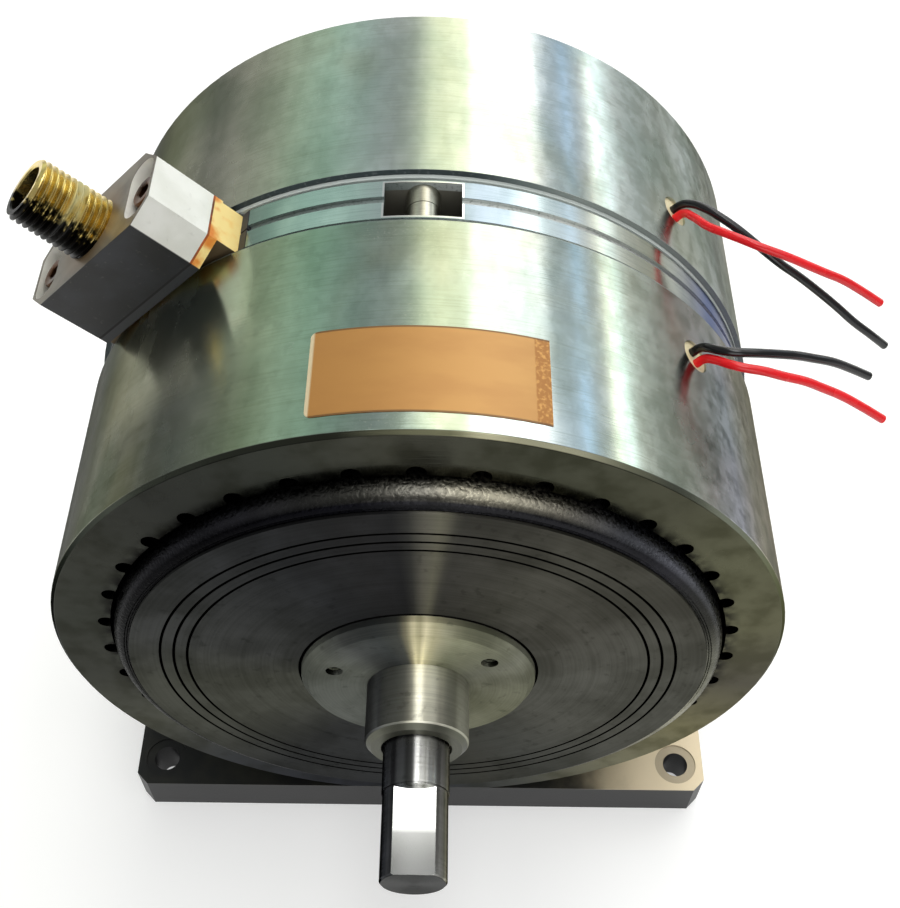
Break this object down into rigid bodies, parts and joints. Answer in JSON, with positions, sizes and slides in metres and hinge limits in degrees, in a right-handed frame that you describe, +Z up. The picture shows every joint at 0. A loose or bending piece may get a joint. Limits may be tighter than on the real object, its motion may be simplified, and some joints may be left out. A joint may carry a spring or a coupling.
{
  "type": "hysteresis brake",
  "caption": "Air-cooled hysteresis brake: two round brake halves back to back on one through shaft, with a screw-on air manifold, coil leads and a flat foot plate.",
  "frame": {"origin": "centre of the foot plate's underside, midway between the two case halves", "axes": "+X to the right as seen from the front, towards the coil leads; +Y along the shaft from the front end to the rear end; +Z up, square to the foot plate"},
  "size_m": [0.1902, 0.222, 0.1726],
  "materials": {
    "foot_steel": "machined grey steel, darkened",
    "plated_case": "zinc plated with a faint green cast, satin",
    "ring_steel": "zinc plated, dull",
    "stud_steel": "plain",
    "spacer": "turned",
    "core_iron": "machined soft iron",
    "bobbin": "moulded",
    "winding": "enamelled copper wire",
    "bearing_steel": "ground",
    "ball_steel": "polished",
    "cage": "pressed",
    "spring_steel": "blackened",
    "shaft_steel": "turned",
    "rotor_rim": "dark magnet steel, slightly glossy",
    "turned_steel": "turned and worn bright",
    "black_screw": "black oxide",
    "plated_block": "machined and bead blasted",
    "gasket": "pressed fibre, rust stained",
    "cream_plastic": "machined cream plastic",
    "seal_rubber": "dull",
    "brass_nipple": "dull, dirty in the threads",
    "potting": "cream potting compound",
    "black_lead": "soft insulation",
    "red_lead": "soft insulation"
  },
  "bodies": {
    "housing": {"foot_plate": "foot_steel", "foot_screws": "black_screw", "case_front": "plated_case", "case_rear": "plated_case", "plenum_front": "ring_steel", "plenum_rear": "ring_steel", "tie_studs": "stud_steel", "tie_spacers": "spacer", "core_front": "core_iron", "core_rear": "core_iron", "core_screws": "black_screw", "bobbin_front": "bobbin", "bobbin_rear": "bobbin", "winding_front": "winding", "winding_rear": "winding", "bearing_outer_front": "bearing_steel", "bearing_outer_rear": "bearing_steel", "circlips": "spring_steel", "manifold_block": "plated_block", "manifold_gasket": "gasket", "manifold_adapter": "cream_plastic", "port_seals": "seal_rubber", "air_nipple": "brass_nipple", "manifold_screws": "black_screw", "potting_front": "potting", "potting_rear": "potting", "lead_front_black": "black_lead", "lead_front_red": "red_lead", "lead_rear_black": "black_lead", "lead_rear_red": "red_lead"},
    "rotor": {"shaft": "shaft_steel", "cup_front": "rotor_rim", "cup_rear": "rotor_rim", "disc_front": "turned_steel", "disc_rear": "turned_steel", "hub_front": "turned_steel", "hub_rear": "turned_steel", "hub_screws": "black_screw", "bearing_inner_front": "bearing_steel", "bearing_inner_rear": "bearing_steel"},
    "front_bearing_cage": {"balls_front": "ball_steel", "cage_front": "cage"},
    "rear_bearing_cage": {"balls_rear": "ball_steel", "cage_rear": "cage"}
  },
  "joints": [
    {"name": "shaft_spin", "type": "hinge", "parent": "housing", "child": "rotor", "pos_m": [0, 0, 0.089], "axis": [0, 1, 0], "continuous": true},
    {"name": "front_cage_spin", "type": "hinge", "parent": "housing", "child": "front_bearing_cage", "pos_m": [0, -0.0495, 0.089], "axis": [0, 1, 0], "continuous": true},
    {"name": "rear_cage_spin", "type": "hinge", "parent": "housing", "child": "rear_bearing_cage", "pos_m": [0, 0.0495, 0.089], "axis": [0, 1, 0], "continuous": true}
  ],
  "couplings": [
    {"joint": "front_cage_spin", "follows": "shaft_spin", "ratio": 0.3987},
    {"joint": "rear_cage_spin", "follows": "shaft_spin", "ratio": 0.3987}
  ]
}
